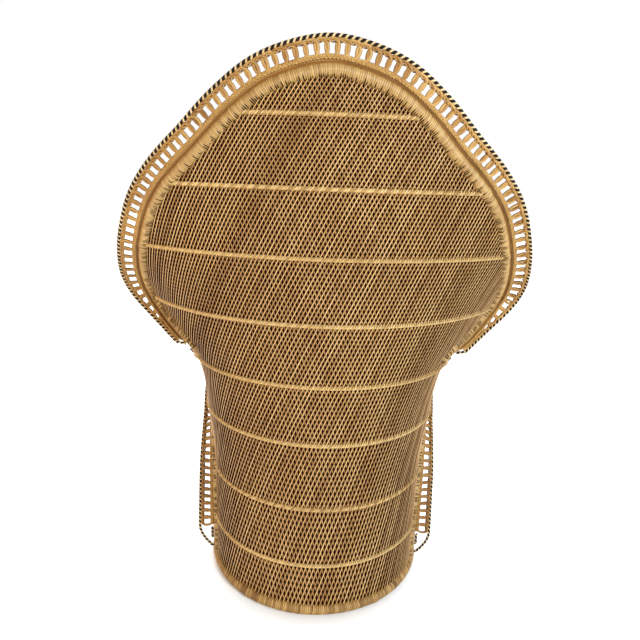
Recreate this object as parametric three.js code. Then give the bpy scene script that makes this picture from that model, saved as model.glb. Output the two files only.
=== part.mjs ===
import * as THREE from 'three';

// A woven cane armchair with a round pedestal, low curved arms and a tall fan back.
// Millimetres, +Z up, the seat looks toward -Y. Angles are counted from the rear of the chair.

// Woven wall: a round drum that opens into a leaning, flatter fan.
const DRUM_RADIUS = 313;
const DRUM_TOP = 334;
const FAN_LEAN = 111;
const FAN_LEAN_TOP = 1400;
const FAN_CURL_RADIUS = 895;
const FAN_CURL_TOP = 1200;
const WALL_THICKNESS = 8.7;

// Sides of the wall: drawn in at the waist, flared out at the lobes above it.
const WAIST_DRAW = 48;
const WAIST_FROM = 460;
const WAIST_LEVEL = 690;
const WAIST_TO = 770;
const LOBE_FLARE = 18;
const LOBE_LEVEL = 800;
const LOBE_TO = 940;

// Poles and cords
const BASE_POLE = 28;
const SEAT_POLE = 22;
const POST_POLE = 22;
const RIM_ROLL = 26;
const BEAD_CANE = 5;
const EDGE_CORD = 8.5;

// Woven bands that tie the canes together, heights of their middle lines
const BAND_LEVELS = [155, 327, 516, 679, 839, 996, 1145, 1289];
const FRONT_BAND_COUNT = 2;
const BAND_HEIGHT = 10;
const BAND_DEPTH = 17;
const BAND_CROWN = 9.4;

// Seat
const SEAT_LEVEL = 405;
const DECK_THICKNESS = 6;
const POST_COUNT = 6;
const SEAT_BAR_SPACING = 140;
const FRONT_ROLL_RISE = 9;

// Loop border outside the rim
const LOOP_PITCH = 19;
const LOOP_GAP = 9;
const BRAID_WIDTH = 11;
const LOOP_LENGTH = 19;
const LOOP_TIP = 6;
const BORDER_THICKNESS = 5;
const FAN_BORDER_END = 752;
const ROLL_JOINT_RISE = 3;
const FAN_CORD_RUN = 28;
const ARM_BORDER_DROP = 80;
const ARM_BORDER_END = 118;
const CORD_END = 46;
const WAIST_SHARE = 0.15;
const TAPER = 165;
const WAIST_REACH = 200;
const SHORT_STEP = 20;
const LONG_STEP = 36;
const ROLL_JOINT_LEVEL = FAN_BORDER_END + ROLL_JOINT_RISE;
const ARM_BORDER_START = FAN_BORDER_END - ARM_BORDER_DROP;

// Openings of the weave: columns and rows of each tier of the back from the floor up, of the crown and
// of the front, and how far each side of an opening stands from its column line, as a share of a column
const TIER_GRID = [[20, 6], [20, 6], [20, 6], [22, 6], [12, 22], [12, 6], [12, 6], [12, 6]];
const CROWN_GRID = [12, 6];
const FRONT_GRID = [20, 6];
const CROWN_FOOT = 8;
const OPENING_SHARE = 0.55;

// Facets of the round members
const HOOP_SIDES = 40;
const POLE_SIDES = 12;
const ROLL_SIDES = 8;
const CORD_SIDES = 5;
const BEAD_SIDES = 4;
const TANGENT_REACH = 4;

// Clearances between touching pieces
const GAP = 0.3;
const TRIM_GAP = 0.8;
const CORD_GAP = 1.2;
const WRAP_GAP = 2;

// Edge of the woven wall from the top of the fan down to the floor hoop:
// height, angle from the rear, and how far the loop border flares out of the wall (degrees).
const EDGE = [
  [1369, 0, 0],
  [1360, 3.6, 2],
  [1335, 8, 4],
  [1281, 12.9, 6],
  [1205, 18.3, 10],
  [1115, 25.9, 18],
  [1030, 34, 28],
  [965, 42, 40],
  [905, 50.5, 52],
  [862, 55.6, 62],
  [822, 57, 70],
  [790, 56.5, 74],
  [765, 54.6, 74],
  [744, 53.6, 70],
  [724, 55, 60],
  [704, 60, 44],
  [680, 72, 34],
  [640, 90, 42],
  [590, 102, 60],
  [540, 105, 72],
  [490, 101, 66],
  [440, 91, 54],
  [390, 82, 50],
  [320, 76.5, 54],
  [200, 73.5, 64],
  [90, 72, 80],
  [BASE_POLE + GAP, 72, 88],
];

const WICKER = { color: 0xb98a4e, roughness: 0.72, metalness: 0 };
const WICKER_LIGHT = { color: 0xd3ad72, roughness: 0.68, metalness: 0 };
const WICKER_DARK = { color: 0x8a5a2b, roughness: 0.74, metalness: 0 };
const POLE = { color: 0xc79a5b, roughness: 0.6, metalness: 0 };
const CORD = { color: 0x4b3a26, roughness: 0.78, metalness: 0 };

const chair = new THREE.Group();
chair.name = 'peacock_chair';

function smooth(from, to, value) {
  const t = THREE.MathUtils.clamp((value - from) / (to - from), 0, 1);
  return t * t * (3 - 2 * t);
}

// Wall surface: every level section is an arc of an ellipse; its rear point moves back as the wall rises.
function rearDepth(z) {
  return DRUM_RADIUS + FAN_LEAN * smooth(DRUM_TOP, FAN_LEAN_TOP, z);
}

function wallRadius(z) {
  const open = smooth(DRUM_TOP, FAN_CURL_TOP, z);
  return 1 / THREE.MathUtils.lerp(1 / DRUM_RADIUS, 1 / FAN_CURL_RADIUS, open);
}

function wallHalfWidth(z) {
  const draw = smooth(WAIST_FROM, WAIST_LEVEL, z) * (1 - smooth(WAIST_LEVEL, WAIST_TO, z));
  const flare = smooth(WAIST_LEVEL, LOBE_LEVEL, z) * (1 - smooth(LOBE_LEVEL, LOBE_TO, z));
  return wallRadius(z) - WAIST_DRAW * draw + LOBE_FLARE * flare;
}

function wallPoint(angle, z, offset = 0) {
  const across = wallHalfWidth(z);
  const deep = across ** 2 / wallRadius(z);
  const x = (across + offset) * Math.sin(angle);
  const y = rearDepth(z) - deep + (deep + offset) * Math.cos(angle);
  return new THREE.Vector3(x, y, z);
}

function wallNormal(angle, z) {
  const across = wallPoint(angle + 0.002, z).sub(wallPoint(angle - 0.002, z));
  const up = wallPoint(angle, z + 0.5).sub(wallPoint(angle, z - 0.5));
  return up.cross(across).normalize();
}

// One closed solid from corner points and triangles, turned so that its faces look outward.
function solid(points, triangles) {
  let volume = 0;
  for (const [a, b, c] of triangles) {
    volume += points[a].dot(points[b].clone().cross(points[c]));
  }
  const index = triangles.flatMap(([a, b, c]) => (volume > 0 ? [a, b, c] : [a, c, b]));
  const geometry = new THREE.BufferGeometry();
  geometry.setAttribute('position', new THREE.Float32BufferAttribute(points.flatMap((p) => p.toArray()), 3));
  geometry.setIndex(index);
  geometry.computeVertexNormals();
  return geometry;
}

function quad(triangles, a, b, c, d) {
  triangles.push([a, b, c], [a, c, d]);
}

function add(name, geometry, look) {
  const mesh = new THREE.Mesh(geometry, new THREE.MeshStandardMaterial({ ...look, flatShading: true }));
  mesh.name = name;
  chair.add(mesh);
  return mesh;
}

// Section rings joined along a path, with flat ends, or closed into a ring.
function sweep(rings, closed = false) {
  const sides = rings[0].length;
  const points = rings.flat();
  const triangles = [];
  const last = closed ? rings.length : rings.length - 1;
  for (let i = 0; i < last; i += 1) {
    const here = i * sides;
    const next = ((i + 1) % rings.length) * sides;
    for (let k = 0; k < sides; k += 1) {
      const turn = (k + 1) % sides;
      quad(triangles, here + k, here + turn, next + turn, next + k);
    }
  }
  if (!closed) {
    const end = (rings.length - 1) * sides;
    for (let k = 1; k < sides - 1; k += 1) {
      triangles.push([0, k + 1, k], [end, end + k, end + k + 1]);
    }
  }
  return solid(points, triangles);
}

// Round section with the given number of sides around a centre, in the plane of two directions.
function roundRing(centre, u, v, radius, sides, turn = 0) {
  return Array.from({ length: sides }, (_, k) => {
    const angle = turn + (2 * Math.PI * k) / sides;
    return centre.clone()
      .addScaledVector(u, radius * Math.cos(angle))
      .addScaledVector(v, radius * Math.sin(angle));
  });
}

// Level pole bent to a ring or an arc; flat faces above and below.
function levelPole(radius, z, thickness, steps, fromAngle = 0, toAngle = 2 * Math.PI) {
  const sides = ROLL_SIDES;
  const closed = toAngle - fromAngle > 6.28;
  const up = new THREE.Vector3(0, 0, 1);
  const corner = thickness / 2 / Math.cos(Math.PI / sides);
  const count = closed ? steps : steps + 1;
  const rings = Array.from({ length: count }, (_, i) => {
    const angle = fromAngle + ((toAngle - fromAngle) * i) / steps;
    const out = new THREE.Vector3(Math.sin(angle), Math.cos(angle), 0);
    const centre = out.clone().multiplyScalar(radius).setZ(z);
    return roundRing(centre, out, up, corner, sides, Math.PI / sides);
  });
  return sweep(rings, closed);
}

function straightPole(from, to, thickness) {
  const axis = to.clone().sub(from).normalize();
  const u = new THREE.Vector3(0, 0, 1).cross(axis);
  if (u.lengthSq() < 1e-6) u.set(1, 0, 0);
  u.normalize();
  const v = axis.clone().cross(u);
  return sweep([from, to].map((p) => roundRing(p, u, v, thickness / 2, POLE_SIDES)));
}

// Closed plate from two matching point grids: quads on both faces and a wall along every free edge.
function plate(front, back, quads) {
  const points = [...front, ...back];
  const shift = front.length;
  const triangles = [];
  const edges = new Set();
  for (const corners of quads) {
    quad(triangles, ...corners);
    quad(triangles, ...corners.map((p) => p + shift).reverse());
    corners.forEach((p, i) => edges.add(`${p} ${corners[(i + 1) % 4]}`));
  }
  for (const edge of edges) {
    const [p, q] = edge.split(' ').map(Number);
    if (!edges.has(`${q} ${p}`)) quad(triangles, q, p, p + shift, q + shift);
  }
  return solid(points, triangles);
}

// Thick openwork sheet over a grid of [angle, height] places on the wall. Each inner column line parts into
// one tall diamond, low and high by turns, as the gaps between crossing canes lie.
function sheet(rows) {
  const columns = rows[0].length;
  const half = (rows.length - 3) / 4;
  const places = [];
  const leftOf = [];
  const rightOf = [];
  rows.forEach((row, r) => row.forEach((place, c) => {
    const middle = c % 2 === 0 ? 1 + 3 * half : 1 + half;
    const inner = c > 0 && c < columns - 1;
    const open = inner ? OPENING_SHARE * Math.max(0, 1 - Math.abs(r - middle) / half) : 0;
    const toward = (other) => place.map((value, k) => THREE.MathUtils.lerp(value, other[k], open));
    leftOf.push(places.length);
    places.push(inner ? toward(row[c - 1]) : place);
    if (open > 0) places.push(toward(row[c + 1]));
    rightOf.push(places.length - 1);
  }));
  const face = (offset) => places.map(([angle, z]) => wallPoint(angle, z, offset));
  const quads = [];
  for (let r = 0; r < rows.length - 1; r += 1) {
    for (let c = 0; c < columns - 1; c += 1) {
      const p = r * columns + c;
      quads.push([rightOf[p], leftOf[p + 1], leftOf[p + 1 + columns], rightOf[p + columns]]);
    }
  }
  return plate(face(WALL_THICKNESS / 2), face(-WALL_THICKNESS / 2), quads);
}

// The edge as one smooth line; its first point mirrors the second so that the crown is level.
// Angles count as lengths along the wall while it is smoothed.
const MM_PER_DEGREE = 8;
const [crownHeight, crownAngle] = EDGE[1];
const edgePoints = [[crownHeight, -crownAngle, 0], ...EDGE];
const edgeCurve = new THREE.CatmullRomCurve3(
  edgePoints.map(([z, angle, flare]) => new THREE.Vector3(angle * MM_PER_DEGREE, z, flare)),
  false,
  'centripetal',
);
const EDGE_SAMPLES = 500;
const crownStart = 1 / (edgePoints.length - 1);
const edgeLine = spread(crownStart, 1, EDGE_SAMPLES).map((t) => {
  const p = edgeCurve.getPoint(t);
  const angle = THREE.MathUtils.degToRad(Math.max(p.x / MM_PER_DEGREE, 0));
  return { angle, z: p.y, flare: THREE.MathUtils.degToRad(p.z) };
});
let edgeLength = 0;
edgeLine.forEach((e, i) => {
  const before = edgeLine[Math.max(i - 1, 0)];
  edgeLength += wallPoint(e.angle, e.z).distanceTo(wallPoint(before.angle, before.z));
  e.along = edgeLength;
});

function edgeAt(along) {
  let i = edgeLine.findIndex((e) => e.along >= along);
  if (i < 1) i = i < 0 ? EDGE_SAMPLES : 1;
  const a = edgeLine[i - 1];
  const b = edgeLine[i];
  const t = THREE.MathUtils.clamp((along - a.along) / (b.along - a.along), 0, 1);
  const mix = (key) => THREE.MathUtils.lerp(a[key], b[key], t);
  return { angle: mix('angle'), z: mix('z'), flare: mix('flare'), along };
}

function edgeAlongAtHeight(z) {
  const i = Math.max(1, edgeLine.findIndex((e) => e.z <= z));
  const a = edgeLine[i - 1];
  const b = edgeLine[i];
  return THREE.MathUtils.lerp(a.along, b.along, (a.z - z) / (a.z - b.z));
}

// Place and directions on the edge: side is +1 or -1, tangent runs from the top of the fan downward.
function edgeFrame(along, side) {
  const distance = Math.abs(along);
  const here = edgeAt(distance);
  const before = edgeAt(Math.max(distance - TANGENT_REACH, 0));
  const after = edgeAt(Math.min(distance + TANGENT_REACH, edgeLength));
  const centre = wallPoint(here.angle, here.z);
  const tangent = wallPoint(after.angle, after.z).sub(wallPoint(before.angle, before.z));
  if (distance < 1) tangent.set(1, 0, 0);
  tangent.normalize();
  const normal = wallNormal(here.angle, here.z);
  normal.addScaledVector(tangent, -normal.dot(tangent)).normalize();
  const inWall = normal.clone().cross(tangent).negate();
  const outward = inWall.clone()
    .multiplyScalar(Math.cos(here.flare))
    .addScaledVector(normal, Math.sin(here.flare));
  const face = tangent.clone().cross(outward);
  const mirror = new THREE.Vector3(side, 1, 1);
  for (const v of [centre, tangent, normal, inWall, outward, face]) v.multiply(mirror);
  return { centre, tangent, normal, inWall, outward, face, z: here.z };
}

// Wall boundary beside the rim roll, on the woven side (-1) or on the far side (+1):
// a step square to the edge, written back as angle and height on the wall.
function boundary(side) {
  const step = side * (RIM_ROLL / 2 + WRAP_GAP);
  return edgeLine.map((e) => {
    const { inWall } = edgeFrame(e.along, 1);
    const across = wallPoint(e.angle + 0.002, e.z).sub(wallPoint(e.angle - 0.002, e.z)).divideScalar(0.004);
    const rise = wallPoint(e.angle, e.z + 0.5).sub(wallPoint(e.angle, e.z - 0.5));
    const aa = across.dot(across);
    const ar = across.dot(rise);
    const rr = rise.dot(rise);
    const toAcross = inWall.dot(across) * step;
    const toRise = inWall.dot(rise) * step;
    const det = aa * rr - ar * ar;
    const angle = e.angle + (toAcross * rr - toRise * ar) / det;
    return { angle, z: e.z + (toRise * aa - toAcross * ar) / det };
  });
}
const innerEdge = boundary(-1);
const outerEdge = boundary(1);

function boundaryAngle(line, z) {
  for (let i = 1; i < line.length; i += 1) {
    const a = line[i - 1];
    const b = line[i];
    if (a.z >= z && b.z < z) {
      return Math.max(0, THREE.MathUtils.lerp(a.angle, b.angle, (a.z - z) / (a.z - b.z)));
    }
  }
  return line[z > line[0].z ? 0 : line.length - 1].angle;
}

function spread(from, to, count) {
  return Array.from({ length: count + 1 }, (_, i) => from + ((to - from) * i) / count);
}

// Back wall between two levels; columns fan out to the rim on both sides.
function backTier(from, to, columns, rowCount) {
  const rows = spread(from, to, rowCount).map((z) => {
    const limit = boundaryAngle(innerEdge, z);
    return spread(-limit, limit, columns).map((angle) => [angle, z]);
  });
  return sheet(rows);
}

// Crown of the fan: columns rise from the top band to the rim.
function crownTier(from, columns, rowCount) {
  const limit = boundaryAngle(innerEdge, from + CROWN_FOOT);
  const tops = spread(-limit, limit, columns).map((angle) => {
    const next = innerEdge.findIndex((e) => e.angle > Math.abs(angle) + 1e-6);
    const a = innerEdge[Math.max(next - 1, 0)];
    const b = innerEdge[Math.max(next, 1)];
    const t = THREE.MathUtils.clamp((Math.abs(angle) - a.angle) / (b.angle - a.angle || 1), 0, 1);
    return [angle, THREE.MathUtils.lerp(a.z, b.z, t)];
  });
  const rows = spread(0, 1, rowCount).map((share) => (
    tops.map(([angle, top]) => [angle, from + (top - from) * share])));
  return sheet(rows);
}

// Front of the pedestal between the two rim posts.
function frontTier(from, to, columns, rowCount) {
  const rows = spread(from, to, rowCount).map((z) => {
    const limit = boundaryAngle(outerEdge, z);
    return spread(limit, 2 * Math.PI - limit, columns).map((angle) => [angle, z]);
  });
  return sheet(rows);
}

// Angles at which a band of the given level clears the rim roll over its whole height.
function bandReach(line, level, pick) {
  const heights = spread(level - BAND_HEIGHT / 2, level + BAND_HEIGHT / 2, 4);
  return pick(...heights.map((z) => boundaryAngle(line, z)));
}

function bandAlong(fromAngle, toAngle, z, columns) {
  const deep = BAND_DEPTH / 2;
  const crown = BAND_CROWN / 2;
  const half = BAND_HEIGHT / 2;
  const shape = [[deep, 0], [crown, half], [-crown, half], [-deep, 0], [-crown, -half], [crown, -half]];
  const rings = spread(fromAngle, toAngle, columns).map((angle) => (
    shape.map(([out, up]) => wallPoint(angle, z, out).setZ(z + up))));
  return sweep(rings);
}

// Base and seat frame
const baseHoop = levelPole(DRUM_RADIUS, BASE_POLE / 2, BASE_POLE, HOOP_SIDES);
add('base_hoop', baseHoop, WICKER_LIGHT);

const seatHoopRadius = DRUM_RADIUS - RIM_ROLL / 2 - WRAP_GAP - SEAT_POLE / 2;
add('seat_hoop', levelPole(seatHoopRadius, SEAT_LEVEL, SEAT_POLE, HOOP_SIDES), POLE);

const postRadius = (DRUM_RADIUS - BASE_POLE / 2) * Math.cos(Math.PI / HOOP_SIDES) - GAP - POST_POLE / 2;
const postTop = SEAT_LEVEL - SEAT_POLE / 2 - GAP;
for (let i = 0; i < POST_COUNT; i += 1) {
  const angle = ((i + 0.5) * 2 * Math.PI) / POST_COUNT;
  const foot = new THREE.Vector3(postRadius * Math.sin(angle), postRadius * Math.cos(angle), 0);
  add(`pedestal_post_${i + 1}`, straightPole(foot, foot.clone().setZ(postTop), POST_POLE), POLE);
}

const barReach = (seatHoopRadius - SEAT_POLE / 2) * Math.cos(Math.PI / HOOP_SIDES) - GAP;
[-1, 0, 1].forEach((place, i) => {
  const x = place * SEAT_BAR_SPACING;
  const half = Math.sqrt(barReach ** 2 - (Math.abs(x) + SEAT_POLE / 2) ** 2);
  const front = new THREE.Vector3(x, -half, SEAT_LEVEL);
  const rear = new THREE.Vector3(x, half, SEAT_LEVEL);
  add(`seat_bar_${i + 1}`, straightPole(front, rear, SEAT_POLE), POLE);
});

const deckRadius = DRUM_RADIUS - RIM_ROLL / 2 - WRAP_GAP;
const deck = new THREE.CylinderGeometry(deckRadius, deckRadius, DECK_THICKNESS, HOOP_SIDES);
deck.rotateX(Math.PI / 2);
deck.translate(0, 0, SEAT_LEVEL + SEAT_POLE / 2 + GAP + DECK_THICKNESS / 2);
add('seat_deck', deck, WICKER);

// Woven wall of the back and arms, tier by tier between the bands
const bandClear = BAND_HEIGHT / 2 + GAP;
BAND_LEVELS.forEach((level, i) => {
  const from = i === 0 ? BASE_POLE + GAP : BAND_LEVELS[i - 1] + bandClear;
  const [columns, rowCount] = TIER_GRID[i];
  add(`back_lattice_${i + 1}`, backTier(from, level - bandClear, columns, rowCount), WICKER);
  const limit = bandReach(innerEdge, level, Math.min) - WRAP_GAP / wallRadius(level);
  add(`back_band_${i + 1}`, bandAlong(-limit, limit, level, columns), WICKER_LIGHT);
});
const crownFrom = BAND_LEVELS[BAND_LEVELS.length - 1] + bandClear;
add('back_lattice_9', crownTier(crownFrom, ...CROWN_GRID), WICKER);

// Front of the pedestal, capped by the front seat roll
const frontRollLevel = SEAT_LEVEL + FRONT_ROLL_RISE;
const frontTop = frontRollLevel - RIM_ROLL / 2 - GAP;
for (let i = 0; i <= FRONT_BAND_COUNT; i += 1) {
  const from = i === 0 ? BASE_POLE + GAP : BAND_LEVELS[i - 1] + bandClear;
  const to = i === FRONT_BAND_COUNT ? frontTop : BAND_LEVELS[i] - bandClear;
  add(`front_lattice_${i + 1}`, frontTier(from, to, ...FRONT_GRID), WICKER);
  if (i < FRONT_BAND_COUNT) {
    const level = BAND_LEVELS[i];
    const limit = bandReach(outerEdge, level, Math.max) + WRAP_GAP / wallRadius(level);
    add(`front_band_${i + 1}`, bandAlong(limit, 2 * Math.PI - limit, level, FRONT_GRID[0]), WICKER_LIGHT);
  }
}
const rollEnd = boundaryAngle(outerEdge, frontRollLevel + RIM_ROLL / 2) + (RIM_ROLL / 2) / DRUM_RADIUS;
const rollRadius = rearDepth(frontRollLevel);
const frontArc = [FRONT_GRID[0], rollEnd, 2 * Math.PI - rollEnd];
add('front_seat_roll', levelPole(rollRadius, frontRollLevel, RIM_ROLL, ...frontArc), WICKER_LIGHT);

// Rim: fan roll between the two waists, arm rolls from the waist joint to the floor hoop
const sideOf = (along) => (along < 0 ? -1 : 1);
const jointAlong = edgeAlongAtHeight(ROLL_JOINT_LEVEL);

// Round member that follows the edge at a given distance outside its middle line.
function edgeTube(stations, side, thickness, sides, distance) {
  const rings = stations.map((along) => {
    const frame = edgeFrame(along, side || sideOf(along));
    const centre = frame.centre.clone().addScaledVector(frame.outward, distance(frame.z));
    return roundRing(centre, frame.outward, frame.face, thickness / 2, sides, Math.PI);
  });
  return sweep(rings);
}

// Stations along the edge, closer together where it turns sharply around the waist.
function rollStations(from, to) {
  const places = [from];
  while (places[places.length - 1] < to - SHORT_STEP / 2) {
    const here = places[places.length - 1];
    const tight = Math.abs(edgeAt(Math.abs(here)).z - WAIST_LEVEL) < WAIST_REACH;
    places.push(Math.min(here + (tight ? SHORT_STEP : LONG_STEP), to));
  }
  places[places.length - 1] = to;
  return places;
}

const halfRoll = rollStations(0, jointAlong);
const fanRoll = [...halfRoll.slice(1).map((s) => -s).reverse(), ...halfRoll];
add('fan_rim_roll', edgeTube(fanRoll, 0, RIM_ROLL, ROLL_SIDES, () => 0), WICKER_LIGHT);
const armStations = rollStations(jointAlong + GAP, edgeLength);

// Border distances from the middle of the roll; the border narrows toward the waist.
const beadDistance = RIM_ROLL / 2 + TRIM_GAP + BEAD_CANE / 2;
const fanInner = beadDistance + BEAD_CANE / 2 + TRIM_GAP;
const armInner = RIM_ROLL / 2 + TRIM_GAP;
const borderWidth = BRAID_WIDTH + LOOP_LENGTH + LOOP_TIP;
const cordClear = CORD_GAP + EDGE_CORD / 2;
const cordHug = RIM_ROLL / 2 + GAP + EDGE_CORD / 2;
const narrow = (full) => THREE.MathUtils.lerp(WAIST_SHARE, 1, full);
const fanShare = (z) => narrow(smooth(FAN_BORDER_END, FAN_BORDER_END + TAPER, z));
const armShare = (z) => narrow(smooth(ARM_BORDER_START, ARM_BORDER_START - TAPER, z));

// Places of the loop legs along the edge, a whole number of pitches apart.
function legPlaces(from, to) {
  const leg = LOOP_PITCH - LOOP_GAP;
  const count = Math.round((to - from - leg) / LOOP_PITCH);
  return spread(from, to - leg, count);
}

// Loop border: a plaited strip, legs with open gaps between them, and a strip along the loop tips.
function loopBorder(legs, side, inner, share) {
  const stations = legs.flatMap((along) => [along, along + LOOP_PITCH - LOOP_GAP]);
  const steps = [0, BRAID_WIDTH, LOOP_LENGTH, LOOP_TIP];
  const front = [];
  const back = [];
  for (const along of stations) {
    const frame = edgeFrame(along, side || sideOf(along));
    const g = share(frame.z);
    let distance = inner;
    for (const step of steps) {
      distance += step * g;
      const p = frame.centre.clone().addScaledVector(frame.outward, distance);
      front.push(p.clone().addScaledVector(frame.face, BORDER_THICKNESS / 2));
      back.push(p.addScaledVector(frame.face, -BORDER_THICKNESS / 2));
    }
  }
  const quads = [];
  for (let j = 0; j < stations.length - 1; j += 1) {
    for (let r = 0; r < steps.length - 1; r += 1) {
      const p = j * steps.length + r;
      const next = p + steps.length;
      if (j % 2 === 0 || r !== 1) quads.push([p, next, next + 1, p + 1]);
    }
  }
  return plate(front, back, quads);
}

const fanBorderAlong = edgeAlongAtHeight(FAN_BORDER_END);
const fanLegs = legPlaces(-fanBorderAlong, fanBorderAlong);
const fanLine = [...fanLegs, fanBorderAlong];
add('fan_bead', edgeTube(fanLine, 0, BEAD_CANE, BEAD_SIDES, () => beadDistance), WICKER_DARK);
add('fan_loop_border', loopBorder(fanLegs, 0, fanInner, fanShare), WICKER);
const fanCordTo = fanBorderAlong + FAN_CORD_RUN;
const fanCordLevel = edgeAt(fanCordTo).z;
const fanCordDistance = (z) => {
  const full = fanInner + borderWidth * fanShare(z) + cordClear;
  return THREE.MathUtils.lerp(cordHug, full, smooth(fanCordLevel, FAN_BORDER_END, z));
};
const fanCordRun = spread(fanBorderAlong, fanCordTo, 3).slice(1);
const fanCordLine = [...fanCordRun.map((s) => -s).reverse(), ...fanLine, ...fanCordRun];
add('fan_edge_cord', edgeTube(fanCordLine, 0, EDGE_CORD, CORD_SIDES, fanCordDistance), CORD);

const armFrom = edgeAlongAtHeight(ARM_BORDER_START);
const armTo = edgeAlongAtHeight(ARM_BORDER_END);
const cordTo = edgeAlongAtHeight(CORD_END);
const armLegs = legPlaces(armFrom, armTo);
const armLine = [...armLegs, ...spread(armTo, cordTo, 5)];
const armCordDistance = (z) => {
  const full = armInner + borderWidth * armShare(z) + cordClear;
  return THREE.MathUtils.lerp(cordHug, full, smooth(CORD_END, ARM_BORDER_END, z));
};
const inlayFrom = edgeAlongAtHeight(ARM_BORDER_END - LOOP_PITCH / 2);
const inlayTo = edgeAlongAtHeight(CORD_END + LOOP_PITCH * 1.5);
for (const [word, side] of [['left', 1], ['right', -1]]) {
  add(`arm_roll_${word}`, edgeTube(armStations, side, RIM_ROLL, ROLL_SIDES, () => 0), WICKER_LIGHT);
  add(`arm_loop_border_${word}`, loopBorder(armLegs, side, armInner, armShare), WICKER);
  add(`arm_edge_cord_${word}`, edgeTube(armLine, side, EDGE_CORD, CORD_SIDES, armCordDistance), CORD);
  const inlay = spread(inlayFrom, inlayTo, 2);
  add(`post_cord_${word}`, edgeTube(inlay, side, EDGE_CORD, CORD_SIDES, () => cordHug), CORD);
}

// Middle of the footprint box over the origin
const box = new THREE.Box3().setFromObject(chair);
chair.position.y = -(box.min.y + box.max.y) / 2;

export default chair;
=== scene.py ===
import math

import bpy
import numpy as np
from mathutils import Matrix, Vector


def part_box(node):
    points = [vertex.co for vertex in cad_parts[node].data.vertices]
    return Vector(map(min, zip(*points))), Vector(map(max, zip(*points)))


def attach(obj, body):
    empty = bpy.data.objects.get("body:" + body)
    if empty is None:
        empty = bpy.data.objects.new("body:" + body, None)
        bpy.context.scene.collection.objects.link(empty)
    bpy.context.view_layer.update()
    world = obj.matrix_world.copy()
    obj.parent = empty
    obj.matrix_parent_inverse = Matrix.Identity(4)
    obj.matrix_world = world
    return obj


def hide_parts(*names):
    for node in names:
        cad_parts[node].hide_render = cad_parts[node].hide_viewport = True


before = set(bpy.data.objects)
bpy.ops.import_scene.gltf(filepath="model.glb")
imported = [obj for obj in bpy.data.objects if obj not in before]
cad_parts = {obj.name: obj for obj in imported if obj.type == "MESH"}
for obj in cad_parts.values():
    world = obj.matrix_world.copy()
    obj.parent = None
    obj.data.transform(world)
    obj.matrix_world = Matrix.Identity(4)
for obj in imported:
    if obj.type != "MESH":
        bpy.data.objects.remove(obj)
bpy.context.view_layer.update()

rng = np.random.default_rng(7)

# Sizes of the chair in metres, the same values as the solids
MM = 0.001
DRUM_RADIUS = 313 * MM
DRUM_TOP = 334 * MM
FAN_LEAN = 111 * MM
FAN_LEAN_TOP = 1400 * MM
FAN_CURL_RADIUS = 895 * MM
FAN_CURL_TOP = 1200 * MM
WAIST_DRAW = 48 * MM
WAIST_FROM = 460 * MM
WAIST_LEVEL = 690 * MM
WAIST_TO = 770 * MM
LOBE_FLARE = 18 * MM
LOBE_LEVEL = 800 * MM
LOBE_TO = 940 * MM
BASE_POLE = 28 * MM
RIM_ROLL = 26 * MM
BEAD_CANE = 5 * MM
EDGE_CORD = 8.5 * MM
BAND_LEVELS = [h * MM for h in (155, 327, 516, 679, 839, 996, 1145, 1289)]
FRONT_BAND_COUNT = 2
FRONT_ROLL_LEVEL = 414 * MM
BRAID_WIDTH = 11 * MM
LOOP_LENGTH = 19 * MM
LOOP_TIP = 6 * MM
FAN_BORDER_END = 752 * MM
FAN_CORD_RUN = 28 * MM
ARM_BORDER_START = 672 * MM
ARM_BORDER_END = 118 * MM
CORD_END = 46 * MM
WAIST_SHARE = 0.15
TAPER = 165 * MM
ROLL_JOINT_LEVEL = 755 * MM
GAP = 0.3 * MM
TRIM_GAP = 0.8 * MM
CORD_GAP = 1.2 * MM

# Edge of the wall: height in millimetres, angle from the rear and flare of the border in degrees
EDGE = [
    (1369, 0, 0), (1360, 3.6, 2), (1335, 8, 4), (1281, 12.9, 6), (1205, 18.3, 10), (1115, 25.9, 18),
    (1030, 34, 28), (965, 42, 40), (905, 50.5, 52), (862, 55.6, 62), (822, 57, 70), (790, 56.5, 74),
    (765, 54.6, 74), (744, 53.6, 70), (724, 55, 60), (704, 60, 44), (680, 72, 34), (640, 90, 42),
    (590, 102, 60), (540, 105, 72), (490, 101, 66), (440, 91, 54), (390, 82, 50), (320, 76.5, 54),
    (200, 73.5, 64), (90, 72, 80), (28.3, 72, 88),
]
MM_PER_DEGREE = 8

# Weave, wraps and cords
CANE_PITCH = 10.6 * MM
OUTER_SHARE = 0.4
# Inner canes are wider than real and close the weave; their broad flanks are painted shade that darkens the
# openings.
INNER_SHARE = 1.06
CANE_HALF_DEPTH = 2.1 * MM
LAYER_OFFSET = 2.2 * MM
WRAP_PITCH = 4.4 * MM
BASE_WRAP_PITCH = 5.4 * MM
FAN_LOOP_PITCH = 20 * MM
LOBE_LOOP_PITCH = 26 * MM
ARM_LOOP_PITCH = 22 * MM
LOOP_SPREAD = 0.64
FAN_LOOP_CANE = 3.5 * MM
ARM_LOOP_CANE = 3.7 * MM
EDGING_CANE = 1.9 * MM
CORD_LAY = 12.6 * MM
PLAIT_LENGTH = 20 * MM
PLAIT_WIDTH = 7 * MM
UP = np.array([0, 0, 1.0])
SIDES = (("left", 1), ("right", -1))

hoop_low, hoop_high = (Vector(corner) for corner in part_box("base_hoop"))
AXIS_Y = (hoop_low.y + hoop_high.y) / 2


# Wall of the chair
def smooth(start, end, value):
    t = np.clip((value - start) / (end - start), 0, 1)
    return t * t * (3 - 2 * t)


def mix(a, b, t):
    return a + (b - a) * t


def rear_depth(z):
    return DRUM_RADIUS + FAN_LEAN * smooth(DRUM_TOP, FAN_LEAN_TOP, z)


def wall_radius(z):
    return 1 / mix(1 / DRUM_RADIUS, 1 / FAN_CURL_RADIUS, smooth(DRUM_TOP, FAN_CURL_TOP, z))


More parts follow.
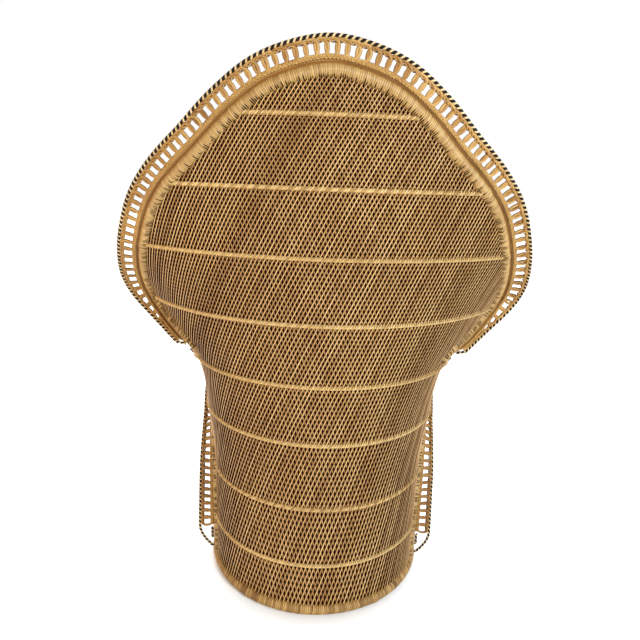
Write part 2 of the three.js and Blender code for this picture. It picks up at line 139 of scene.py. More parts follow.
def wall_half_width(z):
    draw = smooth(WAIST_FROM, WAIST_LEVEL, z) * (1 - smooth(WAIST_LEVEL, WAIST_TO, z))
    flare = smooth(WAIST_LEVEL, LOBE_LEVEL, z) * (1 - smooth(LOBE_LEVEL, LOBE_TO, z))
    return wall_radius(z) - WAIST_DRAW * draw + LOBE_FLARE * flare


def wall_point(angle, z, offset=0.0):
    angle, z = np.broadcast_arrays(np.asarray(angle, float), np.asarray(z, float))
    across = wall_half_width(z)
    deep = across ** 2 / wall_radius(z)
    x = (across + offset) * np.sin(angle)
    y = AXIS_Y + rear_depth(z) - deep + (deep + offset) * np.cos(angle)
    return np.stack([x, y, z], -1)


def unit(v):
    return v / np.maximum(np.linalg.norm(v, axis=-1, keepdims=True), 1e-12)


def travelled(path):
    """Length along a path at each of its points."""
    return np.concatenate([[0], np.cumsum(np.linalg.norm(np.diff(path, axis=0), axis=1))])


ANGLE_STEP, HEIGHT_STEP = 0.002, 0.0005


def wall_normal(angle, z):
    across = wall_point(angle + ANGLE_STEP, z) - wall_point(angle - ANGLE_STEP, z)
    up = wall_point(angle, z + HEIGHT_STEP) - wall_point(angle, z - HEIGHT_STEP)
    return unit(np.cross(up, across))


# Rim line: one smooth curve through the edge places, the first mirrored so that the crown is level
def edge_curve(samples):
    places = np.array([(EDGE[1][0], -EDGE[1][1], 0), *EDGE], float)
    places[:, 1] *= MM_PER_DEGREE
    places = places[:, [1, 0, 2]]
    ends = [2 * places[0] - places[1], *places, 2 * places[-1] - places[-2]]
    spans = len(places) - 1
    curve = []
    for t in np.linspace(1, spans, samples):
        i = min(int(t), spans - 1)
        w = t - i
        p0, p1, p2, p3 = ends[i:i + 4]
        d0, d1, d2 = (math.sqrt(np.linalg.norm(b - a)) for a, b in ((p0, p1), (p1, p2), (p2, p3)))
        m1 = ((p1 - p0) / d0 - (p2 - p0) / (d0 + d1) + (p2 - p1) / d1) * d1
        m2 = ((p2 - p1) / d1 - (p3 - p1) / (d1 + d2) + (p3 - p2) / d2) * d1
        square = 3 * p2 - 3 * p1 - 2 * m1 - m2
        cube = 2 * p1 - 2 * p2 + m1 + m2
        curve.append(p1 + m1 * w + square * w ** 2 + cube * w ** 3)
    curve = np.array(curve)
    angle = np.radians(np.maximum(curve[:, 0] / MM_PER_DEGREE, 0))
    return angle, curve[:, 1] * MM, np.radians(curve[:, 2])


EDGE_SAMPLES = 1200
EDGE_ANGLE, EDGE_Z, EDGE_FLARE = edge_curve(EDGE_SAMPLES)
EDGE_POINT = wall_point(EDGE_ANGLE, EDGE_Z)
EDGE_ALONG = travelled(EDGE_POINT)
EDGE_LENGTH = EDGE_ALONG[-1]


def edge_directions():
    tangent = np.gradient(EDGE_POINT, EDGE_ALONG, axis=0)
    tangent[0] = (1, 0, 0)
    tangent = unit(tangent)
    normal = wall_normal(EDGE_ANGLE, EDGE_Z)
    normal = unit(normal - tangent * np.sum(normal * tangent, -1, keepdims=True))
    in_wall = np.cross(tangent, normal)
    flare = EDGE_FLARE[:, None]
    outward = np.cos(flare) * in_wall + np.sin(flare) * normal
    return outward, np.cross(tangent, outward)


EDGE_OUT, EDGE_FACE = edge_directions()


def along_at_height(z):
    return float(np.interp(-z, -EDGE_Z, EDGE_ALONG))


def angle_at_height(z):
    return float(np.interp(-z, -EDGE_Z, EDGE_ANGLE))


def height_along(along):
    return np.interp(np.abs(along), EDGE_ALONG, EDGE_Z)


def edge_frame(along, side=0):
    """Places and directions on the rim; negative lengths lie on the mirrored half unless a side is given."""
    along = np.asarray(along, float)
    distance = np.abs(along)
    found = []
    for table in (EDGE_POINT, EDGE_OUT, EDGE_FACE):
        found.append(np.stack([np.interp(distance, EDGE_ALONG, table[:, k]) for k in range(3)], -1))
    mirror = np.full(along.shape, side, float) if side else np.where(along < 0, -1.0, 1.0)
    for values in found:
        values[..., 0] *= mirror
    return found[0], unit(found[1]), unit(found[2])


# Meshes
class Pile:
    """Collects tubes and turns them into one mesh piece."""

    def __init__(self):
        self.points, self.faces, self.tone, self.along, self.crown = [], [], [], [], []
        self.count = 0

    def tube(self, rings, tone, along, crown, closed=False):
        """rings: array of rings, sides, xyz; tone, along and crown: one value per ring or per point."""
        ring_count, sides = rings.shape[:2]
        index = np.arange(ring_count * sides).reshape(ring_count, sides) + self.count
        following = np.roll(index, -1, axis=0) if closed else index[1:]
        first = index if closed else index[:-1]
        corners = [first, np.roll(first, -1, 1), np.roll(following, -1, 1), following]
        self.faces.append(np.stack(corners, -1).reshape(-1, 4))
        if not closed:
            self.faces.append(index[0][None, ::-1])
            self.faces.append(index[-1][None])
        self.points.append(rings.reshape(-1, 3))
        for store, value in ((self.tone, tone), (self.along, along), (self.crown, crown)):
            value = np.asarray(value, float)
            if value.ndim == 1:
                value = value[:, None]
            store.append(np.broadcast_to(value, (ring_count, sides)).reshape(-1))
        self.count += ring_count * sides

    def cane(self, path, reference, half_width, half_depth, tone, sides=6, closed=False, shown=0):
        """Round or flattened cane along a path; its depth lies along the reference direction.
        Its crown is light on both sides, or on one side only where shown is 1 or -1; the materials paint
        shade where the crown is low."""
        path = np.asarray(path, float)
        if closed:
            tangent = unit(np.roll(path, -1, 0) - np.roll(path, 1, 0))
        else:
            tangent = unit(np.gradient(path, axis=0))
        up = unit(reference - tangent * np.sum(reference * tangent, -1, keepdims=True))
        across = np.cross(tangent, up)
        turn = 2 * np.pi * np.arange(sides) / sides
        wide = np.broadcast_to(half_width, len(path))[:, None, None]
        deep = np.broadcast_to(half_depth, len(path))[:, None, None]
        rings = path[:, None] + up[:, None] * deep * np.cos(turn)[None, :, None]
        rings = rings + across[:, None] * wide * np.sin(turn)[None, :, None]
        # Crown value for the painted shade: low on the flanks, and with shown also on the whole face turned
        # away.
        crown = (np.cos(turn) * shown if shown else np.abs(np.cos(turn)))[None]
        tones = np.full(len(path), tone)
        self.tube(rings, tones, travelled(path), np.broadcast_to(crown, rings.shape[:2]), closed)

    def piece(self, name, material, slot, replaced=()):
        mesh = bpy.data.meshes.new(name)
        points = np.concatenate(self.points)
        mesh.vertices.add(len(points))
        mesh.vertices.foreach_set("co", points.ravel())
        sizes = np.concatenate([np.full(len(f), f.shape[1]) for f in self.faces])
        loops = np.concatenate([f.ravel() for f in self.faces])
        mesh.loops.add(len(loops))
        mesh.loops.foreach_set("vertex_index", loops)
        mesh.polygons.add(len(sizes))
        mesh.polygons.foreach_set("loop_start", np.concatenate([[0], np.cumsum(sizes)[:-1]]))
        mesh.polygons.foreach_set("loop_total", sizes)
        mesh.polygons.foreach_set("use_smooth", sizes == 4)
        for word, values in (("tone", self.tone), ("along", self.along), ("crown", self.crown)):
            layer = mesh.attributes.new(word, "FLOAT", "POINT")
            layer.data.foreach_set("value", np.concatenate(values))
        mesh.update(calc_edges=True)
        mesh.validate()
        mesh.materials.append(material)
        return place(name, mesh, replaced)


def place(name, mesh, replaced=()):
    piece = bpy.data.objects.new(name, mesh)
    bpy.context.scene.collection.objects.link(piece)
    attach(piece, "root")
    if replaced:
        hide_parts(*replaced)
    return piece


# Materials
class Shader:
    """Short way to write a node material."""

    def __init__(self, name):
        self.material = bpy.data.materials.new(name)
        self.material.use_nodes = True
        self.tree = self.material.node_tree
        self.bsdf = self.tree.nodes["Principled BSDF"]

    def node(self, kind, inputs=(), **settings):
        made = self.tree.nodes.new(kind)
        for key, value in settings.items():
            setattr(made, key, value)
        for key, value in dict(inputs).items():
            if hasattr(value, "is_linked"):
                self.tree.links.new(value, made.inputs[key])
            else:
                made.inputs[key].default_value = value
        return made

    def link(self, source, socket):
        self.tree.links.new(source, self.bsdf.inputs[socket])

    def attribute(self, name):
        return self.node("ShaderNodeAttribute", attribute_name=name).outputs["Fac"]

    def math(self, operation, a, b=0.0):
        return self.node("ShaderNodeMath", {0: a, 1: b}, operation=operation).outputs[0]

    def noise(self, vector, scale, detail, roughness=0.5):
        sockets = {"Vector": vector, "Scale": scale, "Detail": detail, "Roughness": roughness}
        return self.node("ShaderNodeTexNoise", sockets).outputs["Fac"]

    def map_range(self, value, start, end, low, high):
        sockets = {"Value": value, "From Min": start, "From Max": end, "To Min": low, "To Max": high}
        return self.node("ShaderNodeMapRange", sockets).outputs[0]

    def bump(self, height, strength, distance):
        sockets = {"Height": height, "Strength": strength, "Distance": distance}
        self.link(self.node("ShaderNodeBump", sockets).outputs[0], "Normal")

    def ramp(self, factor, *stops):
        made = self.node("ShaderNodeValToRGB", {"Fac": factor})
        elements = made.color_ramp.elements
        while len(elements) < len(stops):
            elements.new(0.5)
        for element, (place_at, colour) in zip(elements, stops):
            element.position = place_at
            element.color = (*colour, 1)
        return made.outputs["Color"]

    def blend(self, factor, a, b, how="MIX"):
        made = self.node("ShaderNodeMix", data_type="RGBA", blend_type=how)
        for socket, value in ((made.inputs[0], factor), (made.inputs[6], a), (made.inputs[7], b)):
            if hasattr(value, "is_linked"):
                self.tree.links.new(value, socket)
            else:
                socket.default_value = value
        return made.outputs[2]


def srgb(*values):
    shares = [value / 255 for value in values]
    return tuple(c / 12.92 if c <= 0.04045 else ((c + 0.055) / 1.055) ** 2.4 for c in shares)


WHITE, BLACK = (1, 1, 1), (0, 0, 0)


def cane_material(name, light, middle, dark, shade, roughness=0.5, gloss=0.3, crown_from=0.1, crown_to=0.75):
    """Cane: its colour differs from strand to strand and in patches along it, with fine grain.
    Its sides are darker, with painted shade, and duller than its crown."""
    s = Shader(name)
    tone, along, crown = s.attribute("tone"), s.attribute("along"), s.attribute("crown")
    base = s.ramp(tone, (0.05, dark), (0.45, middle), (0.95, light))
    lengthwise, strand = s.math("MULTIPLY", along, 22), s.math("MULTIPLY", tone, 37)
    vector = s.node("ShaderNodeCombineXYZ", {0: lengthwise, 1: strand, 2: crown})
    where = s.node("ShaderNodeTexCoord").outputs["Object"]
    patch = s.noise(vector.outputs[0], 1.0, 3.0, 0.6)
    grain = s.noise(where, 700.0, 2.0, 0.7)
    cloud = s.noise(where, 6.0, 2.0)
    spots = s.ramp(patch, (0.3, (0.62, 0.55, 0.45)), (0.55, WHITE), (0.8, (1.12, 1.1, 1.04)))
    colour = s.blend(0.75, base, spots, "MULTIPLY")
    clouds = s.ramp(cloud, (0.3, (0.82, 0.77, 0.7)), (0.65, (1.05, 1.05, 1.05)))
    colour = s.blend(0.8, colour, clouds, "MULTIPLY")
    fine = s.ramp(grain, (0.3, (0.8, 0.76, 0.7)), (0.7, (1.06, 1.05, 1.03)))
    colour = s.blend(0.5, colour, fine, "MULTIPLY")
    # Painted shade: the flanks take the shade colour where the crown value is low.
    side = s.ramp(crown, (crown_from, WHITE), (crown_to, BLACK))
    colour = s.blend(side, colour, (*shade, 1))
    s.link(colour, "Base Color")
    s.link(s.map_range(patch, 0.0, 1.0, roughness + 0.12, roughness - 0.1), "Roughness")
    s.bump(grain, 0.35, 0.0006)
    s.bsdf.inputs["Specular IOR Level"].default_value = gloss
    s.link(s.math("MULTIPLY", s.math("SUBTRACT", 1.0, side), gloss), "Specular IOR Level")
    return s.material


# Shade colour painted on the flanks of the canes.
CANE_SHADE = srgb(44, 21, 7)
outer_cane = cane_material(
    "outer_cane", srgb(234, 190, 128), srgb(210, 162, 98), srgb(168, 118, 60), CANE_SHADE,
    roughness=0.36, gloss=0.55, crown_from=0.54, crown_to=0.78)
# Inner canes: only a narrow crown keeps the cane colour, the broad flanks are painted shade in the openings
# of the weave.
inner_cane = cane_material(
    "inner_cane", srgb(232, 186, 124), srgb(208, 156, 96), srgb(166, 116, 62), CANE_SHADE,
    crown_from=0.77, crown_to=0.92)
seat_cane = cane_material(
    "seat_cane", srgb(226, 180, 110), srgb(202, 150, 84), srgb(164, 112, 54), CANE_SHADE)
band_cane = cane_material(
    "band_cane", srgb(234, 200, 140), srgb(214, 176, 114), srgb(178, 136, 78), srgb(40, 20, 6),
    crown_from=0.35, crown_to=0.85)
wrap_cane = cane_material(
    "wrap_cane", srgb(212, 178, 116), srgb(192, 154, 92), srgb(162, 120, 62), srgb(48, 26, 8),
    roughness=0.36, gloss=0.5, crown_from=0.1, crown_to=0.8)
base_wrap = cane_material(
    "base_wrap", srgb(208, 170, 110), srgb(174, 136, 80), srgb(132, 95, 50), srgb(34, 18, 6),
    crown_from=0.2, crown_to=0.85)
bead_cane = cane_material(
    "bead_cane", srgb(184, 126, 60), srgb(160, 104, 44), srgb(128, 78, 28), srgb(40, 20, 5),
    crown_from=0.5, crown_to=0.85)
border_cane = cane_material(
    "border_cane", srgb(200, 162, 98), srgb(180, 136, 74), srgb(146, 102, 48), srgb(60, 34, 10),
    crown_from=0.05, crown_to=0.65)
black_ply = cane_material(
    "black_ply", srgb(34, 26, 22), srgb(21, 15, 13), srgb(12, 9, 9), srgb(6, 5, 5),
    roughness=0.55, gloss=0.12)
pale_ply = cane_material(
    "pale_ply", srgb(246, 224, 184), srgb(228, 200, 152), srgb(196, 160, 108), srgb(120, 86, 46),
    roughness=0.55)


def pole_material():
    """Peeled rattan pole: long fibres, mottled colour and a dark ring at each joint of the stem."""
    s = Shader("rattan_pole")
    where = s.node("ShaderNodeTexCoord").outputs["Object"]
    long_grain = s.node("ShaderNodeMapping", {"Vector": where, "Scale": (260.0, 260.0, 9.0)})
    fibres = s.noise(long_grain.outputs[0], 1.0, 4.0)
    mottle = s.noise(where, 14.0, 3.0)
    colour = s.ramp(
        fibres, (0.3, srgb(150, 104, 52)), (0.5, srgb(190, 144, 84)), (0.7, srgb(214, 172, 110)))
    patches = s.ramp(mottle, (0.35, (0.72, 0.66, 0.58)), (0.65, (1.05, 1.05, 1.05)))
    colour = s.blend(0.8, colour, patches, "MULTIPLY")
    sockets = {"Vector": where, "Scale": 1.6, "Distortion": 1.2}
    joints = s.node("ShaderNodeTexWave", sockets, bands_direction="Z").outputs["Fac"]
    ring = s.ramp(joints, (0.965, BLACK), (0.995, WHITE))
    colour = s.blend(ring, colour, (*srgb(96, 60, 24), 1))
    s.link(colour, "Base Color")
    s.bsdf.inputs["Roughness"].default_value = 0.48
    s.bump(fibres, 0.3, 0.001)
    return s.material


pole = pole_material()
for node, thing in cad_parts.items():
    if node.startswith(("seat_hoop", "seat_bar", "pedestal_post")):
        thing.data.materials.clear()
        thing.data.materials.append(pole)


# Weave of the wall: slanting canes that lean more and stand closer the higher they run
LEVEL_STEP = 6 * MM
LEVELS = np.arange(BASE_POLE * 0.6, EDGE_Z[0], LEVEL_STEP)
ARC_ANGLES = np.linspace(0, math.pi, 241)


def arc_table(z):
    across = wall_half_width(z)
    deep = across ** 2 / wall_radius(z)
    middle = (ARC_ANGLES[1:] + ARC_ANGLES[:-1]) / 2
    step = ARC_ANGLES[1] - ARC_ANGLES[0]
    pieces = np.hypot(across * np.cos(middle), deep * np.sin(middle)) * step
    return np.concatenate([[0], np.cumsum(pieces)])


# Lean of the canes as run per rise and share of their spacing, by height in metres
LOW_SLOPE, HIGH_SLOPE, CROWN_SLOPE = 0.3, 0.42, 0.11
SLOPE_FROM, SLOPE_RISE = 0.14, 0.81
CROWN_FROM, CROWN_TO = 1.0, 1.3
CROWDING_AT_FLOOR, CROWDING_LOSS = 1.06, 0.155


def cane_slope(z):
    slope = mix(LOW_SLOPE, HIGH_SLOPE, np.clip((z - SLOPE_FROM) / SLOPE_RISE, 0, 1))
    return slope + CROWN_SLOPE * smooth(CROWN_FROM, CROWN_TO, z)


def cane_crowding(z):
    return CROWDING_AT_FLOOR - CROWDING_LOSS * z


MIDDLE_LEVELS = (LEVELS[1:] + LEVELS[:-1]) / 2
CANE_RUN = np.concatenate([[0], np.cumsum(cane_slope(MIDDLE_LEVELS) * np.diff(LEVELS))])
ARC_TABLES = [arc_table(z) for z in LEVELS]
EDGE_LIMIT = np.interp(-LEVELS, -EDGE_Z, EDGE_ANGLE)


def weave_runs(start, lean, inside):
    """Stretches of one slanting cane, as lists of angle and height, where it has room.
    inside gives the room from the number of the level, the angle and the arc past the middle of the front."""
    angles, room = [], []
    for i, z in enumerate(LEVELS):
        arc = start * cane_crowding(z) + lean * CANE_RUN[i]
        angle = math.copysign(np.interp(abs(arc), ARC_TABLES[i], ARC_ANGLES), arc)
        angles.append(angle)
        room.append(inside(i, angle, abs(arc) - ARC_TABLES[i][-1]))

    def crossing(i):
        t = room[i - 1] / (room[i - 1] - room[i])
        return mix(angles[i - 1], angles[i], t), mix(LEVELS[i - 1], LEVELS[i], t)

    runs, run = [], []
    for i in range(len(LEVELS)):
        if room[i] >= 0:
            if not run and i > 0:
                run.append(crossing(i))
            run.append((angles[i], LEVELS[i]))
        elif run:
            run.append(crossing(i))
            runs.append(run)
            run = []
    if run:
        runs.append(run)
    return runs


def thin_out(run, every=3):
    kept = run[::every]
    if kept[-1] != run[-1]:
        kept.append(run[-1])
    return np.array(kept)


WEAVE_REACH = 1.5
START_SPREAD = 0.14 * MM
SWAY_SPREAD = 0.06 * MM
OFFSET_SPREAD = 0.2 * MM
THICKNESS_SPREAD = 0.025
SHORTEST_RUN = 14 * MM
SIX_SIDED_WIDTH = math.sqrt(3)


def weave(name, lean, offset, inside, share, material, replaced=(), depth=CANE_HALF_DEPTH):
    """One layer of canes; lean is 1 or -1, share is how much of the spacing a cane covers."""
    pile = Pile()
    starts = np.arange(-WEAVE_REACH, WEAVE_REACH, CANE_PITCH)
    starts = starts + rng.normal(0, START_SPREAD, len(starts))
    for start in starts:
        tone = rng.beta(3.0, 3.0)
        thick = rng.normal(1, THICKNESS_SPREAD)
        for run in weave_runs(start, lean, inside):
            if run[-1][1] - run[0][1] < SHORTEST_RUN:
                continue
            angle, z = thin_out(run).T
            sway = np.cumsum(rng.normal(0, SWAY_SPREAD, len(z)))
            sway -= np.linspace(0, sway[-1], len(z))
            lift = offset + rng.normal(0, OFFSET_SPREAD)
            path = wall_point(angle + sway / wall_half_width(z), z, lift)
            spacing = CANE_PITCH * cane_crowding(z) / np.hypot(1, cane_slope(z))
            half_width = share * spacing / SIX_SIDED_WIDTH * thick
            pile.cane(path, wall_normal(angle, z), half_width, depth * thick, tone)
    return pile.piece(name, material, "cane_weave", replaced)


# Room of each layer: how far inside its limits a cane is, in radians
EDGE_CLEARANCE = 0.001
NO_ROOM = -1.0
FRONT_TOP = FRONT_ROLL_LEVEL - RIM_ROLL * 0.2
SITTER_FROM = FRONT_ROLL_LEVEL - RIM_ROLL
ANGLE_PER_ARC = 3


def back_room(i, angle, beyond):
    return EDGE_LIMIT[i] - abs(angle) - EDGE_CLEARANCE


def sitter_room(i, angle, beyond):
    return back_room(i, angle, beyond) if LEVELS[i] > SITTER_FROM else NO_ROOM


def front_room(i, angle, beyond):
    if LEVELS[i] > FRONT_TOP:
        return NO_ROOM
    return min(abs(angle) - EDGE_LIMIT[i], -beyond * ANGLE_PER_ARC)


weave("back_weave_outer", -1, LAYER_OFFSET, back_room, OUTER_SHARE, outer_cane,
      [f"back_lattice_{i}" for i in range(1, len(BAND_LEVELS) + 2)])
weave("back_weave_inner", 1, -LAYER_OFFSET, back_room, INNER_SHARE, inner_cane)
weave("back_weave_sitter", -1, -2 * LAYER_OFFSET, sitter_room, OUTER_SHARE, outer_cane,
      depth=0.75 * CANE_HALF_DEPTH)
weave("front_weave_outer", -1, LAYER_OFFSET, front_room, OUTER_SHARE, outer_cane,
      [f"front_lattice_{i}" for i in range(1, FRONT_BAND_COUNT + 2)])
weave("front_weave_inner", 1, -LAYER_OFFSET, front_room, INNER_SHARE, inner_cane)


# Twined bands: four strands wound around the canes at one level
TWINE_DEEP = 5.6 * MM
TWINE_HIGH = 2.4 * MM
TWINE_STRAND = 2.8 * MM
TWINE_COUNT = 4
TWINE_LAY = 25 * MM
TWINE_STEP = 2.2 * MM
TWINE_WAVER, WAVER_RATE = 0.2, 40


def twined_band(name, level, from_angle, to_angle, replaced):
    pile = Pile()
    steps = int(abs(to_angle - from_angle) * wall_half_width(level) / TWINE_STEP)
    angle = np.linspace(from_angle, to_angle, steps)
    centre = wall_point(angle, level)
    travel = travelled(centre)
    normal = wall_normal(angle, np.full(steps, level))
    waver = TWINE_WAVER * np.sin(travel * WAVER_RATE)
    for strand in range(TWINE_COUNT):
        turn = 2 * math.pi * (travel / TWINE_LAY + strand / TWINE_COUNT) + waver
        deep, high = np.sin(turn)[:, None], np.cos(turn)[:, None]
        path = centre + normal * (TWINE_DEEP * deep) + UP * (TWINE_HIGH * high)
        outward = normal * deep + UP * high
        # shown=1 paints shade on the face of each strand that turns towards the wall.
        pile.cane(path, outward, TWINE_STRAND, TWINE_STRAND, rng.beta(3, 2), sides=8, shown=1)
    pile.piece(name, band_cane, "cane_wrap", [replaced])


for number, level in enumerate(BAND_LEVELS, 1):
    limit = angle_at_height(level)
    twined_band(f"back_twine_{number}", level, -limit, limit, f"back_band_{number}")
    if number <= FRONT_BAND_COUNT:
        twined_band(f"front_twine_{number}", level, limit, 2 * math.pi - limit, f"front_band_{number}")


# Wrapped rolls and hoops: a cane wound closely around a core. Each step in the section of one turn has
# its share of the pitch, its height over the core and its lightness, which paints shade into the seams
WRAP_STEPS = (
    (0.0, -0.8 * MM, 0.25), (0.16, -0.1 * MM, 0.9), (0.5, 0.1 * MM, 1.0), (0.84, -0.1 * MM, 0.9))
WRAP_SIDES = 20
WRAP_CLIMB = 0.8
WRAP_UNEVEN = 0.12 * MM
SLIT_DEPTH = 2.2 * MM
SLIT_SHORT, SLIT_LONG, SLIT_REACH = 0.7, 1.6, 1.65
SLIT_GROWTH = 0.3
SLIT_FADE = 0.4
SEAM_GROWTH = 0.5
SHOULDER_SHARE = 0.4
TIE_LIFT = 1.3 * MM
TIE_REACH = 6.5 * MM


def wrapped(name, frames, start, end, thickness, replaced, material=wrap_cane, slits=0.0, floor=None,
            ties=(), pitch=WRAP_PITCH, evenness=4.5):
    """frames(lengths) gives centre, first and second direction; the wrap winds from the first to the second.
    A share of the seams gapes into slits on the side of the weave; seams and slits are painted with shade.
    Raised turns tie down the ends."""
    pile = Pile()
    turns = max(int((end - start) / pitch), 1)
    pitch = (end - start) / turns
    turn = 2 * np.pi * np.arange(WRAP_SIDES) / WRAP_SIDES
    climb = pitch * (turn / (2 * np.pi) - 0.5) * WRAP_CLIMB
    tones = rng.beta(evenness, evenness, turns)
    gaping = rng.random(turns + 1) < slits
    reach = rng.uniform(SLIT_SHORT, SLIT_LONG, turns + 1)
    lengths, drops, tone, crown = [], [], [], []
    for i in range(turns):
        middle = start + (i + 0.5) * pitch
        tied = any(abs(middle - place_at) < TIE_REACH for place_at in ties)
        lift = rng.normal(0, WRAP_UNEVEN) + (TIE_LIFT if tied else 0)
        flare = float(np.interp(abs(middle), EDGE_ALONG, EDGE_FLARE)) if slits else 0.0
        away = np.abs((turn - flare) % (2 * math.pi) - math.pi)
        for share, drop, light in WRAP_STEPS:
            seam = i + 1 if share > 0.5 else i
            slit = np.zeros(WRAP_SIDES)
            if gaping[seam] and share != 0.5:
                half = min(reach[seam] * (1 + SLIT_GROWTH * flare), SLIT_REACH)
                slit = np.clip((half - away) / SLIT_FADE, 0, 1)
            deepness = SHOULDER_SHARE + SHOULDER_SHARE * flare if share else 1 + SEAM_GROWTH * flare
            lengths.append(start + (i + share) * pitch + climb)
            drops.append(drop + lift - SLIT_DEPTH * slit * deepness)
            tone.append(np.full(WRAP_SIDES, tones[i]))
            # Painted shade: darker at the seams and in the slits.
            crown.append(light * (1 - slit))
    lengths = np.clip(np.array(lengths), start, end)
    centre, first, second = frames(lengths)
    radius = (thickness / 2 + np.array(drops))[..., None]
    spoke = first * np.cos(turn)[None, :, None] + second * np.sin(turn)[None, :, None]
    rings = centre + spoke * radius
    if floor is not None:
        rings[..., 2] = np.maximum(rings[..., 2], floor)
    pile.tube(rings, np.array(tone), lengths, np.array(crown))
    return pile.piece(name, material, "cane_wrap", replaced)


def hoop_frames(radius, z):
    def frames(length):
        angle = length / radius
        out = np.stack([np.sin(angle), np.cos(angle), np.zeros_like(angle)], -1)
        centre = out * radius + np.array([0, AXIS_Y, z])
        return centre, out, np.broadcast_to(UP, out.shape)
    return frames


def rim_frames(side=0):
    return lambda length: edge_frame(length, side)


JOINT_ALONG = along_at_height(ROLL_JOINT_LEVEL)
HOOP_TIE_ANGLES = (0.6, 2.2, 3.9, 5.69)
ARM_TIE_COUNT = 3
fan_ties = [along_at_height(level) for level in BAND_LEVELS if level > ROLL_JOINT_LEVEL]
arm_ties = [along_at_height(level) for level in BAND_LEVELS[:ARM_TIE_COUNT]]
wrapped("fan_roll_wrap", rim_frames(), -JOINT_ALONG, JOINT_ALONG, RIM_ROLL, ["fan_rim_roll"],
        slits=0.6, ties=[*fan_ties, *(-place_at for place_at in fan_ties)])
for word, side in SIDES:
    wrapped(f"arm_roll_wrap_{word}", rim_frames(side), JOINT_ALONG + GAP, EDGE_LENGTH, RIM_ROLL,
            [f"arm_roll_{word}"], slits=0.5, ties=arm_ties)
wrapped("base_hoop_wrap", hoop_frames(DRUM_RADIUS, BASE_POLE / 2), 0, 2 * math.pi * DRUM_RADIUS, BASE_POLE,
        ["base_hoop"], material=base_wrap, floor=0.0, ties=[angle * DRUM_RADIUS for angle in HOOP_TIE_ANGLES],
        pitch=BASE_WRAP_PITCH, evenness=2.0)
front_limit = angle_at_height(FRONT_ROLL_LEVEL) + RIM_ROLL / 2 / DRUM_RADIUS
front_radius = float(rear_depth(FRONT_ROLL_LEVEL))
wrapped("front_roll_wrap", hoop_frames(front_radius, FRONT_ROLL_LEVEL), front_limit * front_radius,
        (2 * math.pi - front_limit) * front_radius, RIM_ROLL, ["front_seat_roll"])


# Border outside the rim: bead, plait, loops and twisted cord
bead_distance = RIM_ROLL / 2 + TRIM_GAP + BEAD_CANE / 2
fan_inner = bead_distance + BEAD_CANE / 2 + TRIM_GAP
arm_inner = RIM_ROLL / 2 + TRIM_GAP
border_width = BRAID_WIDTH + LOOP_LENGTH + LOOP_TIP
cord_clear = CORD_GAP + EDGE_CORD / 2
cord_hug = RIM_ROLL / 2 + GAP + EDGE_CORD / 2
roll_skin = RIM_ROLL / 2 - 1 * MM


def fan_share(z):
    return mix(WAIST_SHARE, 1, smooth(FAN_BORDER_END, FAN_BORDER_END + TAPER, z))


def arm_share(z):
    return mix(WAIST_SHARE, 1, smooth(ARM_BORDER_START, ARM_BORDER_START - TAPER, z))


fan_end = along_at_height(FAN_BORDER_END)
fan_cord_end = fan_end + FAN_CORD_RUN
FAN_CORD_LEVEL = float(height_along(fan_cord_end))


def fan_cord_distance(z):
    full = fan_inner + border_width * fan_share(z) + cord_clear
    return mix(cord_hug, full, smooth(FAN_CORD_LEVEL, FAN_BORDER_END, z))


def arm_cord_distance(z):
    full = arm_inner + border_width * arm_share(z) + cord_clear
    run = np.clip((z - CORD_END) / (ARM_BORDER_END - CORD_END), 0, 1)
    return mix(cord_hug, full, np.sin(run * math.pi / 2))


WIDE_LOOPS_TO, CLOSE_LOOPS_FROM = 0.95, 1.2


def fan_loop_pitch(z):
    return mix(LOBE_LOOP_PITCH, FAN_LOOP_PITCH, smooth(WIDE_LOOPS_TO, CLOSE_LOOPS_FROM, z))


def arm_loop_pitch(z):
    return np.full(np.shape(z), ARM_LOOP_PITCH)


PLAIT_STRANDS = 3
PLAIT_STEP = 1.7 * MM
PLAIT_CANE_WIDE, PLAIT_CANE_DEEP = 2.1 * MM, 1.5 * MM
PLAIT_INSET = 1.2 * MM
PLAIT_WAVE, PLAIT_LIFT = 1.5 * MM, 1.4 * MM
CORE_SHARE, CORE_TUCK = 0.52, 0.32
CORE_SINK, CORE_DEEP = 1.2 * MM, 1.1 * MM
CORE_TONE = 0.35


def plait(name, start, end, side, inner, share, run=0.0):
    """Three-cane plait on a flat core; past its ends it closes in on the roll over the length run."""
    pile = Pile()
    along = np.linspace(start - run, end + run, int((end - start + 2 * run) / PLAIT_STEP))
    centre, out, face = edge_frame(along, side)
    width = share(height_along(along))
    closing = smooth(0, run, np.abs(along) - end) if run else np.zeros(len(along))
    for strand in range(PLAIT_STRANDS):
        turn = 2 * math.pi * (along / PLAIT_LENGTH + strand / PLAIT_STRANDS)
        reach = inner + (PLAIT_WIDTH / 2 + (PLAIT_WIDTH / 2 - PLAIT_INSET) * np.sin(turn)) * width
        reach = mix(reach, roll_skin, closing)
        lift = PLAIT_WAVE * np.sin(2 * turn) - PLAIT_LIFT
        path = centre + out * reach[:, None] + face * lift[:, None]
        pile.cane(path, face, PLAIT_CANE_WIDE, PLAIT_CANE_DEEP, rng.beta(2, 2))
    core = mix(inner + PLAIT_WIDTH * (CORE_SHARE * width - CORE_TUCK), roll_skin, closing)
    core_half = PLAIT_WIDTH * (CORE_SHARE * width + CORE_TUCK)
    path = centre + out * core[:, None] + face * CORE_SINK
    pile.cane(path, face, core_half, CORE_DEEP, CORE_TONE, sides=8)
    return pile.piece(name, border_cane, "cane_border")


LOOP_SAMPLES = 2000
LOOP_POINTS = 28
LOOP_FOOT = 0.85
LOOP_SHOULDER = 0.6
LOOP_CROSSING = 0.6 * MM
LOOP_FLATNESS = 0.85
LOOP_WIDTH_SPREAD = 0.03
LOOP_LEAN_SPREAD = 0.7 * MM
LOOP_TIP_SPREAD = 0.4 * MM
EDGING_STEP = 2.4 * MM
EDGING_WAVE = 2.2 * MM
EDGING_INSET = LOOP_TIP * 0.7


